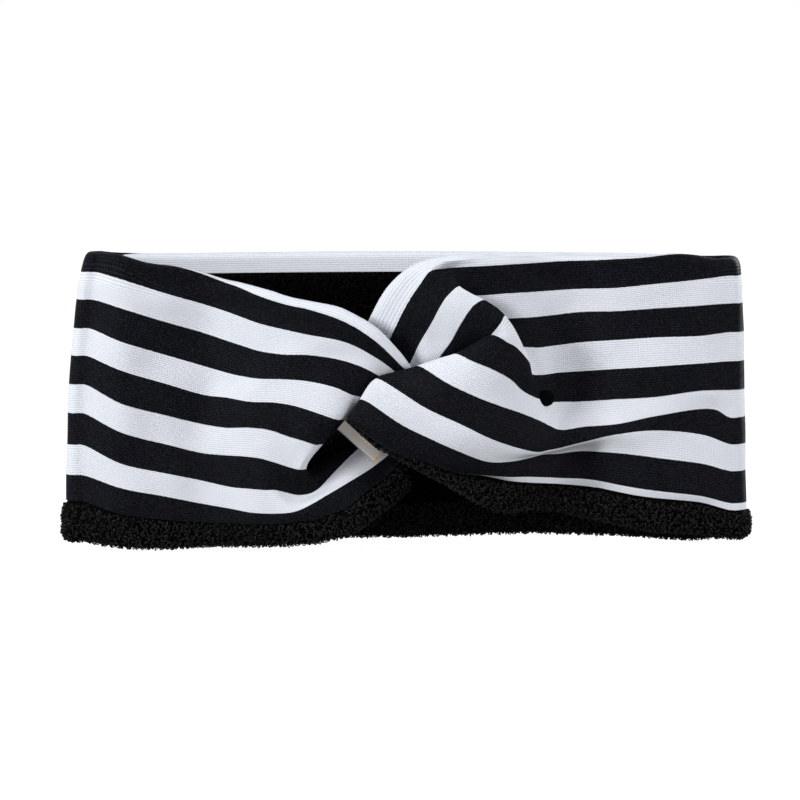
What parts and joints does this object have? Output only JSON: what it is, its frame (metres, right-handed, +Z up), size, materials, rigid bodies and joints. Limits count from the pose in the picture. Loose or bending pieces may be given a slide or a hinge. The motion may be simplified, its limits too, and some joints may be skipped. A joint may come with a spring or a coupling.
{
  "type": "twist spa headband",
  "caption": "Wide stretch headband for spa and make-up use: striped jersey outside, terry lining, a twisted front and a loop label.",
  "frame": {"origin": "centre of the loop's box, on the surface that the lower edge rests on", "axes": "+X across the flattened loop from one side fold to the other, +Y from the twisted front to the back, +Z up along the loop's axis"},
  "size_m": [0.2384, 0.0512, 0.103],
  "materials": {
    "striped_jersey": "fine knit jersey with a satin sheen, printed with 10 mm black and white stripes along the band",
    "terry": "black looped terry towelling, matte",
    "thread": "black polyester sewing thread",
    "label_satin": "off-white woven satin ribbon",
    "stud": "dead matte black"
  },
  "bodies": {
    "front": {"jersey_left_arm": "striped_jersey", "jersey_right_arm": "striped_jersey", "terry_left_arm": "terry", "terry_right_arm": "terry", "lower_seam_left_arm": "thread", "lower_seam_right_arm": "thread", "upper_seam_left_arm": "thread", "upper_seam_right_arm": "thread", "label_stitching": "thread", "tack_stud": "stud"},
    "back": {"jersey_back_left": "striped_jersey", "jersey_back_right": "striped_jersey", "terry_back_left": "terry", "terry_back_right": "terry", "lower_seam_back": "thread", "upper_seam_back": "thread", "centre_back_seam": "thread"},
    "label_flap": {"label": "label_satin"}
  },
  "joints": [
    {"name": "loop_opening", "type": "slide", "parent": "front", "child": "back", "axis": [0, 1, 0], "range_m": [0, 0.05], "stiffness_N_per_m": 40},
    {"name": "label_hinge", "type": "hinge", "parent": "front", "child": "label_flap", "pos_m": [-0.0146, -0.02492, 0.0417], "axis": [-0.7431, 0, 0.6691], "range_deg": [0, 70]}
  ]
}
